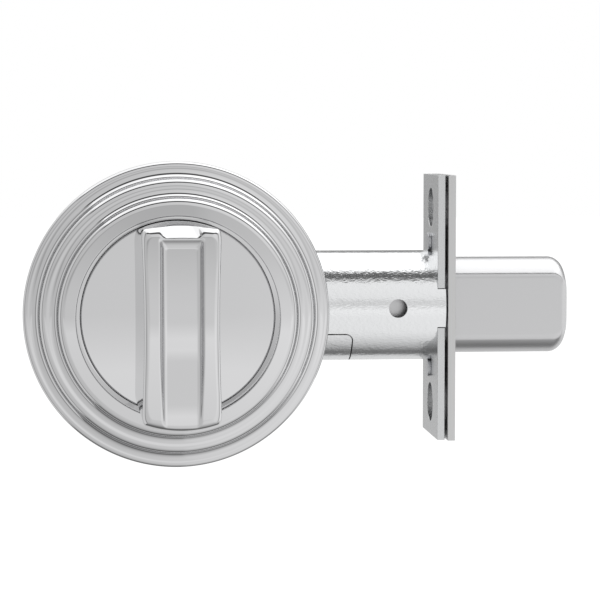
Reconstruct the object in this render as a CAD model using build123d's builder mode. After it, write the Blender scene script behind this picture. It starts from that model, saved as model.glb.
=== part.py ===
"""Tubular deadbolt with an inner rose and thumbturn, a tube latch and an outer key cylinder.

The origin is where the spindle's axis (Y) crosses the bolt's axis (X), in the middle of the door.
+X is the way the bolt is thrown, -Y is the room side with the thumbturn, +Z is up.
The bolt is thrown and the thumbturn is upright. All lengths are in millimetres.
"""

from build123d import *
from math import cos, radians, sin, sqrt, tan
import os

os.makedirs("parts", exist_ok=True)

# Door and throw
door_thickness = 44.45
backset = 60.325
bolt_throw = 25.4
turn_angle = 90.0

# Running and seating clearances
running = 0.05
seat = 0.15
slide_gap = 0.3

# How far a cut runs past the piece, and a boss into it
overrun = 1.0

# Inner rose: width and height of each ring, outermost first, and width and height of a shoulder
rose_ring_widths = (2.95, 3.9, 4.2)
rose_ring_tops = (5.0, 9.3, 13.5)
rose_shoulder = (2.4, 3.3)
rose_land_slope = 5.0
rose_recess_gap = 0.7
rose_floor_top = 7.0
rose_floor_thickness = 2.0
rose_plate_gap = 0.5
rose_cavity_depth = 7.0
rose_inner_wall = 2.1

# Thumbturn
turn_disc_radius = 20.0
turn_disc_top = 10.5
turn_disc_back = 7.3
hub_radius = 6.45
hub_end = 1.8
grip_top = 34.0
grip_base_width = 17.8
grip_front_width = 15.8
grip_base_waist = 0.2
grip_front_waist = 0.5
grip_corner = 1.5
grip_edge = 1.2
grip_arch_drop = 0.7
grip_foot_inset = 0.15
grip_upper_inset = 0.4
grip_lower_overhang = 1.0
grip_channel_width = 7.2
grip_channel_top = 15.8
grip_channel_end = -18.4
grip_channel_sink_top = 1.7
grip_channel_sink_end = 0.4
grip_channel_corner = 1.3
grip_channel_flare = 35.0
grip_notch_sink = 0.6

# Retaining ring and spring washer behind the rose
ring_thickness = 1.0
ring_height = 3.0
ring_radial = 3.5
groove_depth = 1.2
washer_thickness = 0.4
washer_outer_radius = 9.5

# Mounting plate, its screws and the rose's set screw
plate_radius = 26.3
plate_thickness = 1.6
plate_flange_thickness = 1.2
plate_flange_height = 4.4
plate_hole_radius = 7.2
screw_offset = 21.3
screw_radius = 1.9
screw_clearance = 0.3
screw_head_radius = 3.4
screw_head_height = 2.2
screw_head_round = 0.7
screw_slot_width = 0.9
screw_slot_depth = 1.0
screw_reach = 18.0
set_screw_radius = 1.5
set_screw_height = 2.5
set_screw_recess = 0.8
set_screw_socket_width = 1.5
set_screw_socket_depth = 1.6

# Latch tube and its cover
tube_radius = 12.0
tube_wall = 1.2
tube_rear = -22.0
side_hole_radius = 2.0
side_hole_setback = 12.3
slot_half_length = 20.0
slot_side_gap = 0.7
cover_rear = 22.5
cover_front = 38.4
cover_top = -5.6
cover_corner = 1.2
tab_half_height = 4.1

# Plates at the door's edge
face_height = 57.15
face_width = 25.4
face_thickness = 1.6
face_gap = 0.45
back_width = 22.7
back_thickness = 1.65
face_screw_spacing = 42.86
face_screw_radius = 2.6
face_screw_head_radius = 4.0
back_hole_radius = 4.25
rivet_radius = 1.0
rivet_head_radius = 1.9
rivet_head_height = 0.7
rivet_depth = 1.0

# Bolt
bolt_width = 15.8
bolt_solid_length = 51.3
nose_radius = 3.2
nose_bevel = 1.2
roller_radius = 3.0
roller_length = 44.0
roller_plug_length = 3.2
roller_lift = 1.0
tongue_length = 6.2
tongue_half_width = 2.6

# Bolt tail and drive pin
tail_plate_thickness = 1.5
tail_plate_gap = 0.1
tail_cam_gap = 0.5
tail_tube_gap = 0.45
tail_web_length = 4.0
tail_web_thickness = 1.0
tail_lug_half = 2.6
tail_lug_drop = 1.8
tail_rivet_edge = 0.45
drive_pin_radius = 1.5
drive_pin_overhang = 0.3

# Drive cam
journal_radius = 6.4
journal_reach = 12.6
arm_half_thickness = 2.0
arm_overreach = 0.64
arm_tine = 1.9
fork_play = 1.4
fork_floor_gap = 1.0
arm_corner = 1.4
detent_flat_depth = 0.4
detent_half_width = 3.0

# Tailpiece and its driver
blade_thickness = 2.0
blade_width = 6.5
blade_clearance = 0.05
blade_socket_top = 8.8
blade_end_gap = 0.2
driver_disc_radius = 4.7
driver_lug_radius = 8.0
driver_lug_angle = 30.0
driver_front = 13.2
driver_thickness = 1.8
plug_dog_radius = 5.2
plug_driver_radius = 8.2
plug_driver_thickness = 1.2
plug_driver_gap = 0.2
plug_dog_angle = 225.0

# Leaf spring over the cam
leaf_thickness = 0.4
leaf_width = 5.0
leaf_rear = -19.5
leaf_roof_gap = 0.6
leaf_cam_gap = 0.35
leaf_flat_length = 7.0
leaf_bump_half = 3.0
leaf_tip_reach = 7.2
leaf_tip_rise = 1.45
leaf_bend = 2.0

# Outer collar, by height above the door's outer face
collar_base_radius = 28.8
collar_base_top = 5.0
collar_radius = 26.6
collar_top = 16.0
collar_shoulder = (2.0, 2.0)
collar_wall = 3.0
collar_lip = 2.6
guard_disc_thickness = 1.2
guard_disc_gap = 0.3
collar_ear_depth = 4.2
collar_ear_radius = 25.5

# Key cylinder
body_radius = 16.5
body_back = -3.5
body_flange_radius = 18.6
body_flange_height = 1.9
body_sink = 0.2
ear_half_length = 25.2
ear_width = 10.0
ear_thickness = 3.2
post_radius = 3.6
post_reach = 16.2
plug_radius = 6.4
plug_head_radius = 7.4
plug_head_height = 1.4
keyway_width = 2.2
keyway_height = 8.6
keyway_drop = 0.8
keyway_depth = 18.0
clip_thickness = 1.0
clip_radius = 8.0
clip_groove_depth = 0.9
clip_gap = 0.2

# Sizes that follow from the ones above
door_half = door_thickness / 2
grip_foot_radius = turn_disc_radius - grip_foot_inset
grip_upper_radius = turn_disc_radius - grip_upper_inset
grip_lower_radius = turn_disc_radius + grip_lower_overhang
rose_hole_radius = turn_disc_radius + rose_recess_gap
rose_third_radius = rose_hole_radius + rose_ring_widths[2]
rose_second_radius = rose_third_radius + rose_ring_widths[1]
rose_radius = rose_second_radius + rose_ring_widths[0]
rose_cavity_radius = plate_radius + rose_plate_gap
face_front = backset
face_back = face_front - face_thickness
back_front = face_back - face_gap
back_back = back_front - back_thickness
tube_inner = tube_radius - tube_wall
bolt_radius = tube_inner - slide_gap
plate_rivet_offset = tube_radius + rivet_head_radius
bolt_tip = face_front + bolt_throw
bolt_rear = bolt_tip - bolt_solid_length
pin_swing = bolt_throw / 2
pin_drop = pin_swing
arm_angle = radians(turn_angle / 2)
tail_inner = tongue_half_width + tail_plate_gap
tail_outer = tail_inner + tail_plate_thickness
tail_top = -journal_radius - tail_cam_gap
tail_bottom = tail_tube_gap - sqrt(tube_inner**2 - tail_outer**2)
tail_rivet_radius = (tail_top - tail_bottom) / 2 - tail_rivet_edge
slot_half_width = tail_outer + slot_side_gap
fork_width = 2 * (drive_pin_radius + fork_play)
fork_start = pin_drop - drive_pin_radius - fork_floor_gap
arm_tip = sqrt(pin_swing**2 + pin_drop**2) + arm_overreach
arm_width = fork_width + 2 * arm_tine
leaf_lift = tube_inner - leaf_roof_gap - leaf_thickness / 2
leaf_bump = journal_radius + leaf_cam_gap + leaf_thickness / 2
plug_driver_front = driver_front + driver_thickness + plug_driver_gap
plug_rear = plug_driver_front + plug_driver_thickness


def inner_section():
    """Plane of a section through the inner side: x is the radius, y the height above the door."""
    return Plane(origin=(0, -door_half, 0), x_dir=(1, 0, 0), z_dir=(0, 0, -1))


def outer_section():
    """Plane of a section through the outer side: x is the radius, y the height above the door."""
    return Plane(origin=(0, door_half, 0), x_dir=(1, 0, 0), z_dir=(0, 0, 1))


def facing_room(y):
    """Plane across the spindle at y: its x is X, its y is Z, and it faces the room."""
    return Plane(origin=(0, y, 0), x_dir=(1, 0, 0), z_dir=(0, -1, 0))


def above_inner_face(height):
    """Plane parallel to the door, this high above its inner face."""
    return facing_room(-door_half - height)


def across_bolt(x):
    """Plane across the bolt's axis at x: its x is Y, its y is Z, and it faces the door's edge."""
    return Plane(origin=(x, 0, 0), x_dir=(0, 1, 0), z_dir=(1, 0, 0))


def stepped_rings(radii, tops, shoulder, slope=0):
    """Draw the outer edge of a stack of rings, from the outermost to the radius where the last one ends.

    Each ring has a shoulder, a quarter ellipse of this width and height, and a land that rises inwards.
    """
    width, height = shoulder
    last = (radii[0], 0)
    for radius, inner, top in zip(radii, radii[1:], tops):
        land_start = radius - width
        edge = top - (land_start - inner) * tan(radians(slope))
        Line(last, (radius, edge - height))
        EllipticalCenterArc((land_start, edge - height), width, height, arc_size=90)
        Line((land_start, edge), (inner, top))
        last = (inner, top)


def bolt_profile(clearance=0):
    """The bolt's section: a round bar with a flat on each side, grown all round by a clearance."""
    Circle(bolt_radius + clearance)
    Rectangle(bolt_width + 2 * clearance, 2 * (bolt_radius + clearance), mode=Mode.INTERSECT)


def blade_slot(clearance=blade_clearance):
    """Section of the tailpiece, upright, grown all round by a clearance."""
    Rectangle(blade_thickness + 2 * clearance, blade_width + 2 * clearance)


def lug_direction(angle):
    """Point on a unit circle, at this angle from +Z towards +X."""
    return (sin(radians(angle)), cos(radians(angle)))


def sector(middle_angle, width_angle, reach):
    """A wedge from the axis, used to keep one lug of a ring."""
    left = lug_direction(middle_angle - width_angle / 2)
    right = lug_direction(middle_angle + width_angle / 2)
    Polygon((0, 0), (reach * left[0], reach * left[1]), (reach * right[0], reach * right[1]), align=None)


# Inner rose: three rings, a recess for the thumbturn's disc and a bored floor
with BuildPart() as inside_rose:
    with BuildSketch(inner_section()):
        with BuildLine():
            stepped_rings(
                (rose_radius, rose_second_radius, rose_third_radius, rose_hole_radius),
                rose_ring_tops,
                rose_shoulder,
                rose_land_slope,
            )
            Polyline(
                (rose_hole_radius, rose_ring_tops[-1]),
                (rose_hole_radius, rose_floor_top),
                (hub_radius + running, rose_floor_top),
                (hub_radius + running, rose_floor_top - rose_floor_thickness),
                (rose_hole_radius + rose_inner_wall, rose_floor_top - rose_floor_thickness),
                (rose_hole_radius + rose_inner_wall, rose_cavity_depth),
                (rose_cavity_radius, rose_cavity_depth),
                (rose_cavity_radius, 0),
                (rose_radius, 0),
            )
        make_face()
    revolve(axis=Axis.Y)
    with BuildSketch(Plane.XY.offset(-rose_radius - overrun)):
        with Locations((0, -door_half - set_screw_height)):
            Circle(set_screw_radius + running / 2)
    extrude(amount=rose_radius + overrun - plate_radius, mode=Mode.SUBTRACT)
inside_rose.part.label = "inside_rose"
export_step(inside_rose.part, "parts/inside_rose.step")


# Thumbturn: disc, hub with its groove and socket, and the waisted upright grip
def grip_outline(width, waist, upper_radius, lower_radius):
    """Outline of the grip: hollowed sides, and round ends about the spindle's axis."""
    half = width / 2
    upper = sqrt(upper_radius**2 - half**2)
    lower = -sqrt(lower_radius**2 - half**2)
    ThreePointArc((half, upper), (half - waist, 0), (half, lower))
    ThreePointArc((half, lower), (0, -lower_radius), (-half, lower))
    ThreePointArc((-half, lower), (waist - half, 0), (-half, upper))
    ThreePointArc((-half, upper), (0, upper_radius), (half, upper))


with BuildPart() as grip:
    with BuildSketch(above_inner_face(turn_disc_top - overrun)) as grip_foot:
        with BuildLine():
            grip_outline(grip_base_width, grip_base_waist, grip_foot_radius, grip_foot_radius)
        make_face()
        fillet(grip_foot.vertices(), radius=grip_corner)
    with BuildSketch(above_inner_face(grip_top)) as grip_front:
        with BuildLine():
            grip_outline(grip_front_width, grip_front_waist, grip_upper_radius, grip_lower_radius)
        make_face()
        fillet(grip_front.vertices(), radius=grip_corner)
    loft(ruled=True)
    # The front is a low arch from end to end
    arch_end = -door_half - grip_top + grip_arch_drop
    arch_reach = grip_lower_radius + overrun
    with BuildSketch(Plane.YZ):
        with BuildLine():
            ThreePointArc((arch_end, arch_reach), (-door_half - grip_top, 0), (arch_end, -arch_reach))
            Polyline(
                (arch_end, -arch_reach),
                (-door_half, -arch_reach),
                (-door_half, arch_reach),
                (arch_end, arch_reach),
            )
        make_face()
    extrude(amount=grip_base_width, both=True, mode=Mode.INTERSECT)
    fillet(grip.faces().sort_by(Axis.Y)[0].edges(), radius=grip_edge)

# The finger channel has flared walls. It is deep at its upper end and runs out at the lower end.
# A shallow notch of the same width leads it out over the grip's upper end
with BuildPart() as channel:
    channel_length = grip_channel_top - grip_channel_end
    channel_slope = (grip_channel_sink_top - grip_channel_sink_end) / channel_length
    channel_middle_sink = (grip_channel_sink_top + grip_channel_sink_end) / 2
    channel_floor = Plane(
        origin=(
            0,
            -door_half - grip_top + channel_middle_sink,
            (grip_channel_top + grip_channel_end) / 2,
        ),
        x_dir=(1, 0, 0),
        z_dir=(0, -1, channel_slope),
    )
    with BuildSketch(channel_floor):
        RectangleRounded(grip_channel_width, channel_length, grip_channel_corner)
    extrude(amount=2 * grip_channel_sink_top, taper=-grip_channel_flare)
    with BuildSketch(above_inner_face(grip_top - grip_arch_drop - grip_notch_sink)):
        with Locations((0, turn_disc_radius)):
            Rectangle(grip_channel_width, 2 * (turn_disc_radius - grip_channel_top))
    extrude(amount=2 * grip_channel_sink_top, taper=-grip_channel_flare)

with BuildPart() as thumbturn:
    with BuildSketch(inner_section()):
        with BuildLine():
            Polyline(
                (0, hub_end),
                (hub_radius, hub_end),
                (hub_radius, ring_height - seat),
                (hub_radius - groove_depth, ring_height - seat),
                (hub_radius - groove_depth, ring_height + ring_thickness + seat),
                (hub_radius, ring_height + ring_thickness + seat),
                (hub_radius, turn_disc_back),
                (turn_disc_radius, turn_disc_back),
                (turn_disc_radius, turn_disc_top),
                (0, turn_disc_top),
                (0, hub_end),
            )
        make_face()
    revolve(axis=Axis.Y)
    add(grip.part)
    add(channel.part, mode=Mode.SUBTRACT)
    with BuildSketch(above_inner_face(hub_end)):
        blade_slot()
    extrude(amount=blade_socket_top - hub_end, mode=Mode.SUBTRACT)
thumbturn.part.label = "thumbturn"
export_step(thumbturn.part, "parts/thumbturn.step")


def open_ring(plane, inner, outer, thickness, mouth):
    """A flat snap ring, cut open at the bottom."""
    with BuildPart() as ring:
        with BuildSketch(plane):
            Circle(outer)
            Circle(inner, mode=Mode.SUBTRACT)
            with Locations((0, -outer)):
                Rectangle(mouth, 2 * outer, mode=Mode.SUBTRACT)
        extrude(amount=thickness)
    return ring.part


# Snap ring that keeps the thumbturn's hub in the rose
thumbturn_ring = open_ring(
    above_inner_face(ring_height),
    hub_radius - groove_depth + running,
    hub_radius - groove_depth + ring_radial,
    ring_thickness,
    hub_radius,
)
thumbturn_ring.label = "thumbturn_ring"
export_step(thumbturn_ring, "parts/thumbturn_ring.step")

# Dished spring washer between the snap ring and the rose's floor
with BuildPart() as spring_washer:
    washer_inner = hub_radius + slide_gap
    washer_foot = ring_height + ring_thickness + running
    washer_head = rose_floor_top - rose_floor_thickness - running
    with BuildSketch(inner_section()):
        Polygon(
            (washer_inner, washer_foot),
            (washer_inner, washer_foot + washer_thickness),
            (washer_outer_radius, washer_head),
            (washer_outer_radius, washer_head - washer_thickness),
            align=None,
        )
    revolve(axis=Axis.Y)
spring_washer.part.label = "spring_washer"
export_step(spring_washer.part, "parts/spring_washer.step")

# Mounting plate: a shallow steel cup that the two long screws pull onto the door
with BuildPart() as mounting_plate:
    with BuildSketch(above_inner_face(0)):
        Circle(plate_radius)
    extrude(amount=plate_flange_height)
    with BuildSketch(above_inner_face(plate_thickness)):
        Circle(plate_radius - plate_flange_thickness)
    extrude(amount=plate_flange_height, mode=Mode.SUBTRACT)
    with BuildSketch(above_inner_face(0)):
        Circle(plate_hole_radius)
        with GridLocations(0, 2 * screw_offset, 1, 2):
            Circle(screw_radius + screw_clearance)
    extrude(amount=plate_thickness, mode=Mode.SUBTRACT)
mounting_plate.part.label = "mounting_plate"
export_step(mounting_plate.part, "parts/mounting_plate.step")


def mounting_screw(height):
    """A long machine screw through the door, with a slotted head on the mounting plate."""
    with BuildPart() as screw:
        with BuildSketch(above_inner_face(plate_thickness)):
            with Locations((0, height)):
                Circle(screw_head_radius)
        extrude(amount=screw_head_height)
        fillet(screw.faces().sort_by(Axis.Y)[0].edges(), radius=screw_head_round)
        with BuildSketch(above_inner_face(plate_thickness + screw_head_height)):
            with Locations((0, height)):
                Rectangle(3 * screw_head_radius, screw_slot_width)
        extrude(amount=-screw_slot_depth, mode=Mode.SUBTRACT)
        with BuildSketch(above_inner_face(plate_thickness)):
            with Locations((0, height)):
                Circle(screw_radius)
        extrude(amount=-(plate_thickness + door_half + screw_reach))
    return screw.part


for screw_name, screw_height in (("upper_screw", screw_offset), ("lower_screw", -screw_offset)):
    screw_part = mounting_screw(screw_height)
    screw_part.label = screw_name
    export_step(screw_part, f"parts/{screw_name}.step")

# Set screw in the rose's lower rim, tight on the mounting plate's flange
with BuildPart() as rose_set_screw:
    set_screw_outer = rose_radius - set_screw_recess
    with BuildSketch(Plane.XY.offset(-set_screw_outer)):
        with Locations((0, -door_half - set_screw_height)):
            Circle(set_screw_radius)
    extrude(amount=set_screw_outer - plate_radius - running)
    with BuildSketch(Plane.XY.offset(-set_screw_outer)):
        with Locations((0, -door_half - set_screw_height)):
            RegularPolygon(set_screw_socket_width / 2, 6)
    extrude(amount=set_screw_socket_depth, mode=Mode.SUBTRACT)
rose_set_screw.part.label = "rose_set_screw"
export_step(rose_set_screw.part, "parts/rose_set_screw.step")


def cover_outline(clearance):
    """The stepped cut-out in the tube's lower side, with rounded upper corners."""
    length = cover_front - cover_rear - 2 * clearance
    height = 2 * tube_radius
    with Locations(((cover_front + cover_rear) / 2, cover_top - clearance - height / 2)):
        RectangleRounded(length, height, cover_corner)


# Latch tube: round steel tube with journal holes, a slot for the cam and a covered cut-out
with BuildPart() as latch_tube:
    with BuildSketch(across_bolt(tube_rear)):
        Circle(tube_radius)
        Circle(tube_inner, mode=Mode.SUBTRACT)
    extrude(amount=back_back - tube_rear)
    # Two tabs pass the sides of the back plate
    with BuildSketch(across_bolt(back_back)):
        Circle(tube_radius)
        Circle(tube_inner, mode=Mode.SUBTRACT)
        Rectangle(2 * tube_radius, 2 * tab_half_height, mode=Mode.INTERSECT)
    extrude(amount=back_thickness + face_gap / 2)
    with BuildSketch(facing_room(0)):
        Circle(journal_radius + running)
        with Locations((face_front - side_hole_setback, 0)):
            Circle(side_hole_radius)
    extrude(amount=tube_radius + overrun, both=True, mode=Mode.SUBTRACT)
    with BuildSketch(Plane.XY.offset(-tube_radius - overrun)):
        Rectangle(2 * slot_half_length, 2 * slot_half_width)
    extrude(amount=tube_radius + overrun, mode=Mode.SUBTRACT)
    with BuildSketch(facing_room(0)):
        cover_outline(0)
    extrude(amount=tube_radius + overrun, both=True, mode=Mode.SUBTRACT)
latch_tube.part.label = "latch_tube"
export_step(latch_tube.part, "parts/latch_tube.step")

# Cover in the tube's cut-out, flush with the tube
with BuildPart() as case_cover:
    with BuildSketch(across_bolt(cover_rear)):
        Circle(tube_radius)
        Circle(tube_inner, mode=Mode.SUBTRACT)
    extrude(amount=cover_front - cover_rear)
    with BuildSketch(facing_room(0)):
        cover_outline(seat)
    extrude(amount=tube_radius + overrun, both=True, mode=Mode.INTERSECT)
case_cover.part.label = "case_cover"
export_step(case_cover.part, "parts/case_cover.step")

# Back plate on the tube's end, notched at the sides for the tube's tabs
with BuildPart() as backplate:
    with BuildSketch(across_bolt(back_back)):
        Rectangle(back_width, face_height)
        with BuildSketch(mode=Mode.SUBTRACT):
            bolt_profile(slide_gap)
        with GridLocations(0, face_screw_spacing, 1, 2):
            Circle(back_hole_radius, mode=Mode.SUBTRACT)
        with GridLocations(0, 2 * plate_rivet_offset, 1, 2):
            Circle(rivet_radius + running, mode=Mode.SUBTRACT)
        tab_inner = sqrt(tube_inner**2 - tab_half_height**2) - seat
        with GridLocations(2 * tube_radius, 0, 2, 1):
            Rectangle(
                2 * (tube_radius - tab_inner),
                2 * (tab_half_height + seat),
                mode=Mode.SUBTRACT,
            )
    extrude(amount=back_thickness)
backplate.part.label = "backplate"
export_step(backplate.part, "parts/backplate.step")

# Face plate, flush in the door's edge, with two countersunk screw holes
with BuildPart(across_bolt(face_front)) as faceplate:
    with BuildSketch(across_bolt(face_front)):
        Rectangle(face_width, face_height)
        with BuildSketch(mode=Mode.SUBTRACT):
            bolt_profile(slide_gap)
    extrude(amount=-face_thickness)
    with GridLocations(0, face_screw_spacing, 1, 2):
        CounterSinkHole(face_screw_radius, face_screw_head_radius, counter_sink_angle=90)
    with BuildSketch(across_bolt(face_back)):
        with GridLocations(0, 2 * plate_rivet_offset, 1, 2):
            Circle(rivet_radius + running)
    extrude(amount=rivet_depth + running, mode=Mode.SUBTRACT)
faceplate.part.label = "faceplate"
export_step(faceplate.part, "parts/faceplate.step")

# Two rivets hold the face plate on the back plate
with BuildPart() as plate_rivets:
    with BuildSketch(across_bolt(back_back)):
        with GridLocations(0, 2 * plate_rivet_offset, 1, 2):
            Circle(rivet_head_radius)
    extrude(amount=-rivet_head_height)
    with BuildSketch(across_bolt(back_back)):
        with GridLocations(0, 2 * plate_rivet_offset, 1, 2):
            Circle(rivet_radius)
    extrude(amount=face_back + rivet_depth - back_back)
plate_rivets.part.label = "plate_rivets"
export_step(plate_rivets.part, "parts/plate_rivets.step")

# Bolt: a round bar with two flats, a rounded nose and a riveting tongue behind
with BuildPart() as bolt:
    with BuildSketch(Plane.XY):
        with BuildLine():
            Line((bolt_rear, 0), (bolt_rear, bolt_radius))
            Line((bolt_rear, bolt_radius), (bolt_tip - nose_radius, bolt_radius))
            CenterArc((bolt_tip - nose_radius, bolt_radius - nose_radius), nose_radius, 90, -90)
            Line((bolt_tip, bolt_radius - nose_radius), (bolt_tip, 0))
            Line((bolt_tip, 0), (bolt_rear, 0))
        make_face()
    revolve(axis=Axis.X)
    with BuildSketch(across_bolt(bolt_rear)):
        Rectangle(bolt_width, 2 * bolt_radius)
    extrude(amount=bolt_solid_length, mode=Mode.INTERSECT)
    bolt_tip_edges = bolt.edges().filter_by(Axis.Z).group_by(Axis.X)[-1]
    chamfer(bolt_tip_edges, length=nose_bevel)
    with BuildSketch(across_bolt(bolt_rear - tongue_length)):
        with Locations((0, (tail_top + tail_bottom) / 2)):
            Rectangle(2 * tongue_half_width, tail_top - tail_bottom)
    extrude(amount=tongue_length)
    with BuildSketch(across_bolt(bolt_rear)):
        with Locations((0, roller_lift)):
            Circle(roller_radius + running)
    extrude(amount=roller_length + roller_plug_length + running, mode=Mode.SUBTRACT)
    with BuildSketch(facing_room(0)):
        with Locations((bolt_rear - tongue_length / 2, (tail_top + tail_bottom) / 2)):
            Circle(tail_rivet_radius + running)
    extrude(amount=bolt_radius, both=True, mode=Mode.SUBTRACT)
bolt.part.label = "bolt"
export_step(bolt.part, "parts/bolt.step")

# Hardened roller in the bolt's bore turns under a saw
with BuildPart() as hardened_roller:
    with BuildSketch(across_bolt(bolt_rear + roller_plug_length)):
        with Locations((0, roller_lift)):
            Circle(roller_radius)
    extrude(amount=roller_length)
hardened_roller.part.label = "hardened_roller"
export_step(hardened_roller.part, "parts/hardened_roller.step")

# Plug that closes the roller's bore
with BuildPart() as roller_plug:
    with BuildSketch(across_bolt(bolt_rear)):
        with Locations((0, roller_lift)):
            Circle(roller_radius + running / 2)
    extrude(amount=roller_plug_length - running)
roller_plug.part.label = "roller_plug"
export_step(roller_plug.part, "parts/roller_plug.step")

# Bolt tail: two cheeks and a web, folded from one strip, with lugs for the drive pin
with BuildPart() as bolt_tail:
    cheek_front = bolt_rear - seat
    cheek_rear = pin_swing - tail_lug_half
    with BuildSketch(facing_room(0)):
        Polygon(
            (cheek_rear, tail_top),
            (cheek_front, tail_top),
            (cheek_front, tail_bottom),
            (cheek_rear + 2 * tail_lug_half, tail_bottom),
            (cheek_rear + 2 * tail_lug_half, -pin_drop - tail_lug_drop),
            (cheek_rear, -pin_drop - tail_lug_drop),
            align=None,
        )
        with Locations((pin_swing, -pin_drop)):
            Circle(drive_pin_radius + running / 2, mode=Mode.SUBTRACT)
        with Locations((bolt_rear - tongue_length / 2, (tail_top + tail_bottom) / 2)):
            Circle(tail_rivet_radius + running, mode=Mode.SUBTRACT)
    extrude(amount=tail_outer, both=True)
    with BuildSketch(facing_room(0)):
        Rectangle(4 * bolt_tip, 4 * tube_radius)
    extrude(amount=tail_inner, both=True, mode=Mode.SUBTRACT)
    with BuildSketch(across_bolt(bolt_rear - tongue_length - slide_gap)):
        with Locations((0, tail_bottom + tail_web_thickness / 2)):
            Rectangle(2 * tail_outer, tail_web_thickness)
    extrude(amount=-tail_web_length)
bolt_tail.part.label = "bolt_tail"
export_step(bolt_tail.part, "parts/bolt_tail.step")

# Rivet through the tail's cheeks and the bolt's tongue
with BuildPart() as tail_rivet:
    with BuildSketch(facing_room(0)):
        with Locations((bolt_rear - tongue_length / 2, (tail_top + tail_bottom) / 2)):
            Circle(tail_rivet_radius)
    extrude(amount=tail_outer, both=True)
tail_rivet.part.label = "tail_rivet"
export_step(tail_rivet.part, "parts/tail_rivet.step")

# Drive pin across the tail's lugs, inside the cam's fork
with BuildPart() as drive_pin:
    with BuildSketch(facing_room(0)):
        with Locations((pin_swing, -pin_drop)):
            Circle(drive_pin_radius)
    extrude(amount=tail_outer + drive_pin_overhang, both=True)
drive_pin.part.label = "drive_pin"
export_step(drive_pin.part, "parts/drive_pin.step")

# Drive cam: journals in the tube's sides and a forked arm, here swung towards the door's edge
with BuildPart() as drive_cam:
    with BuildSketch(facing_room(0)):
        Circle(journal_radius)
    extrude(amount=journal_reach, both=True)
    arm_plane = Plane(
        origin=(0, 0, 0),
        x_dir=(cos(arm_angle), 0, sin(arm_angle)),
        z_dir=(0, 1, 0),
    )
    with BuildSketch(arm_plane) as arm_sketch:
        with Locations((0, arm_tip / 2)):
            Rectangle(arm_width, arm_tip)
        fillet(arm_sketch.vertices().group_by(Axis.Y)[-1], radius=arm_corner)
        with Locations((0, fork_start + arm_tip)):
            Rectangle(fork_width, 2 * arm_tip, mode=Mode.SUBTRACT)
    extrude(amount=arm_half_thickness, both=True)
    # One flat faces the leaf spring with the bolt thrown, the other with it drawn back
    with BuildSketch(facing_room(0)):
        with Locations((0, 2 * journal_radius - detent_flat_depth), (detent_flat_depth - 2 * journal_radius, 0)):
            Rectangle(2 * journal_radius, 2 * journal_radius)
    extrude(amount=detent_half_width, both=True, mode=Mode.SUBTRACT)
    with BuildSketch(facing_room(0)):
        blade_slot()
    extrude(amount=journal_reach, both=True, mode=Mode.SUBTRACT)
drive_cam.part.label = "drive_cam"
export_step(drive_cam.part, "parts/drive_cam.step")

# Tailpiece: flat blade from the thumbturn's socket, through the cam, to the cylinder
with BuildPart() as tailpiece:
    blade_room_end = -door_half - blade_socket_top + blade_end_gap
    blade_key_end = driver_front + driver_thickness
    with BuildSketch(facing_room(blade_key_end)):
        blade_slot(0)
    extrude(amount=blade_key_end - blade_room_end)
tailpiece.part.label = "tailpiece"
export_step(tailpiece.part, "parts/tailpiece.step")

# Driver on the tailpiece's end, with one lug
with BuildPart() as tail_driver:
    with BuildSketch(facing_room(driver_front + driver_thickness)):
        Circle(driver_lug_radius)
        with BuildSketch(mode=Mode.INTERSECT):
            sector(0, driver_lug_angle, 2 * driver_lug_radius)
        Circle(driver_disc_radius)
        with BuildSketch(mode=Mode.SUBTRACT):
            blade_slot()
    extrude(amount=driver_thickness)
tail_driver.part.label = "tail_driver"
export_step(tail_driver.part, "parts/tail_driver.step")

# Leaf spring over the cam, riveted to the tube's roof
with BuildPart() as detent_spring:
    with BuildSketch(facing_room(leaf_width / 2)):
        with BuildLine():
            FilletPolyline(
                (leaf_rear, leaf_lift),
                (leaf_rear + leaf_flat_length, leaf_lift),
                (-leaf_bump_half, leaf_bump),
                (leaf_bump_half, leaf_bump),
                (leaf_tip_reach, leaf_bump + leaf_tip_rise),
                radius=leaf_bend,
            )
        trace(line_width=leaf_thickness)
    extrude(amount=leaf_width)
detent_spring.part.label = "detent_spring"
export_step(detent_spring.part, "parts/detent_spring.step")

# Outer collar: a hardened stepped guard round the cylinder
with BuildPart() as outside_collar:
    with BuildSketch(outer_section()):
        with BuildLine():
            stepped_rings(
                (collar_base_radius, collar_radius, body_radius + seat),
                (collar_base_top, collar_top),
                collar_shoulder,
            )
            Polyline(
                (body_radius + seat, collar_top),
                (body_radius + seat, collar_top - collar_lip),
                (collar_radius - collar_wall, collar_top - collar_lip),
                (collar_radius - collar_wall, collar_ear_depth),
                (collar_ear_radius, collar_ear_depth),
                (collar_ear_radius, 0),
                (collar_base_radius, 0),
            )
        make_face()
    revolve(axis=Axis.Y)
outside_collar.part.label = "outside_collar"
export_step(outside_collar.part, "parts/outside_collar.step")

# Hardened disc behind the collar's lip, free to turn under a drill
with BuildPart() as hardened_disc:
    disc_front = door_half + collar_top - collar_lip - seat
    with BuildSketch(facing_room(disc_front)):
        Circle(collar_radius - collar_wall - guard_disc_gap)
        Circle(body_radius + guard_disc_gap, mode=Mode.SUBTRACT)
    extrude(amount=guard_disc_thickness)
hardened_disc.part.label = "hardened_disc"
export_step(hardened_disc.part, "parts/hardened_disc.step")

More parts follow.
